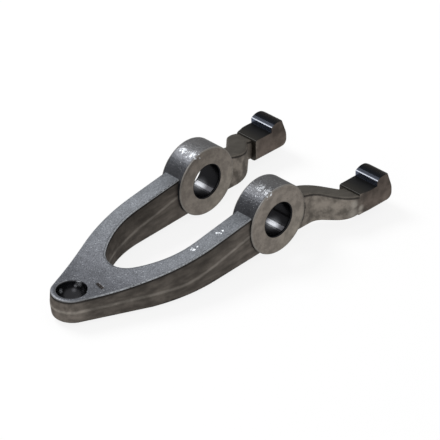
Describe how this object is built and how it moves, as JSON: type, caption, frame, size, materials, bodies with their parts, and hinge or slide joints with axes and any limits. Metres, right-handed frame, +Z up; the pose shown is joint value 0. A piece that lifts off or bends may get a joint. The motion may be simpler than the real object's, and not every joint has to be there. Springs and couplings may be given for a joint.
{
  "type": "clutch fork",
  "caption": "Forged clutch release fork: arms round a long slot, bored pivot bosses, a ball socket in the nose and splayed rear arms with cam pads.",
  "frame": {"origin": "middle of the pivot axis, halfway between the bosses", "axes": "+Y along the pivot axis; +X from the nose to the cam pads; +Z up, the side that the socket and the cam pads face"},
  "size_m": [0.2585, 0.1238, 0.0516],
  "materials": {
    "forged_steel": "dark shot-blasted forging with machined bores, boss faces, socket and pads"
  },
  "bodies": {
    "root": {"clutch_fork": "forged_steel"}
  },
  "joints": []
}
